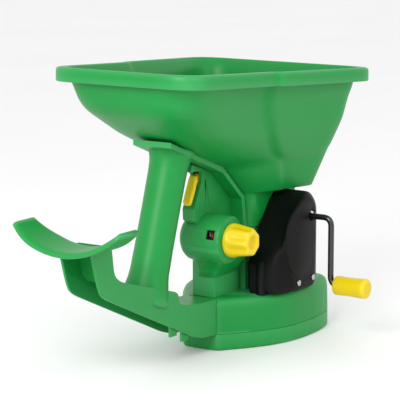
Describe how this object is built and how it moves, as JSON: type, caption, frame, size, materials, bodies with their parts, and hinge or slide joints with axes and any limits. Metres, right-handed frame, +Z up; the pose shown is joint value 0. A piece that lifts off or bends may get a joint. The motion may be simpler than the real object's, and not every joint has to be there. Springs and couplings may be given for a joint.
{
  "type": "hand-held garden spreader",
  "caption": "Hand-cranked spreader: open hopper above a geared impeller that throws granules forward, with a grip, trigger, rate dial and forearm cradle",
  "frame": {"origin": "on the floor under the axis that the impeller turns on", "axes": "+X is the way the granules are thrown, +Z is up, the crank is on the -Y side"},
  "size_m": [0.409, 0.243, 0.2937],
  "materials": {
    "hopper_plastic": "moulded green, light satin gloss",
    "body_plastic": "moulded green, satin",
    "black_plastic": "moulded black, fine grain",
    "yellow_plastic": "moulded yellow, satin gloss",
    "scale_plastic": "moulded red",
    "gear_plastic": "unpainted acetal",
    "black_steel": "gloss black over steel",
    "bright_steel": "zinc plated"
  },
  "bodies": {
    "frame": {"hopper": "hopper_plastic", "base_cover": "body_plastic", "base_tray": "body_plastic", "tray_screws": "bright_steel", "rail": "body_plastic", "rail_ribs": "body_plastic", "rail_clips": "body_plastic", "arm_cradle": "body_plastic", "hopper_saddle": "body_plastic", "handle": "body_plastic", "trigger_web": "body_plastic", "body_column": "body_plastic", "drop_chute": "body_plastic", "shutter_guides": "body_plastic", "dial_barrel": "body_plastic", "scale_window": "black_plastic", "trigger_pin": "bright_steel", "trigger_spring": "bright_steel", "gear_cover": "black_plastic", "case_screws": "bright_steel", "gear_plate": "black_plastic", "crank_bush": "gear_plastic", "crank_end_bush": "gear_plastic", "layshaft_bush": "gear_plastic", "upper_bush": "gear_plastic", "lower_bush": "gear_plastic"},
    "crank": {"crank_rod": "black_steel", "crank_gear": "gear_plastic"},
    "crank_handgrip": {"crank_grip": "yellow_plastic"},
    "lay": {"layshaft": "bright_steel", "lay_pinion": "gear_plastic", "face_gear": "gear_plastic"},
    "thrower": {"impeller_shaft": "bright_steel", "impeller_pinion": "gear_plastic", "impeller": "black_plastic"},
    "trigger_lever": {"trigger": "yellow_plastic"},
    "gate": {"shutter": "gear_plastic", "shutter_link": "gear_plastic"},
    "dial": {"dial_knob": "yellow_plastic", "dial_shaft": "yellow_plastic", "scale_ring": "scale_plastic", "rate_cam": "gear_plastic"}
  },
  "joints": [
    {"name": "crank_spin", "type": "hinge", "parent": "frame", "child": "crank", "pos_m": [0, 0, 0.127], "axis": [0, -1, 0], "continuous": true},
    {"name": "grip_spin", "type": "hinge", "parent": "crank", "child": "crank_handgrip", "pos_m": [0, -0.11, 0.058], "axis": [0, -1, 0], "continuous": true},
    {"name": "layshaft_spin", "type": "hinge", "parent": "frame", "child": "lay", "pos_m": [0, 0, 0.0998], "axis": [0, -1, 0], "continuous": true},
    {"name": "impeller_spin", "type": "hinge", "parent": "frame", "child": "thrower", "pos_m": [0, 0, 0.03], "axis": [0, 0, 1], "continuous": true},
    {"name": "trigger_pull", "type": "hinge", "parent": "frame", "child": "trigger_lever", "pos_m": [-0.108, 0, 0.176], "axis": [0, 1, 0], "range_deg": [0, 18], "stiffness_Nm_per_rad": 0.5, "springref_deg": -17.19},
    {"name": "shutter_slide", "type": "slide", "parent": "frame", "child": "gate", "axis": [-1, 0, 0], "range_m": [0, 0.0102]},
    {"name": "dial_turn", "type": "hinge", "parent": "frame", "child": "dial", "pos_m": [-0.102, 0, 0.115], "axis": [0, -1, 0], "range_deg": [-270, 0]}
  ],
  "couplings": [
    {"joint": "layshaft_spin", "follows": "crank_spin", "ratio": -2},
    {"joint": "impeller_spin", "follows": "crank_spin", "ratio": -4},
    {"joint": "shutter_slide", "follows": "trigger_pull", "m_per_rad": 0.031}
  ]
}
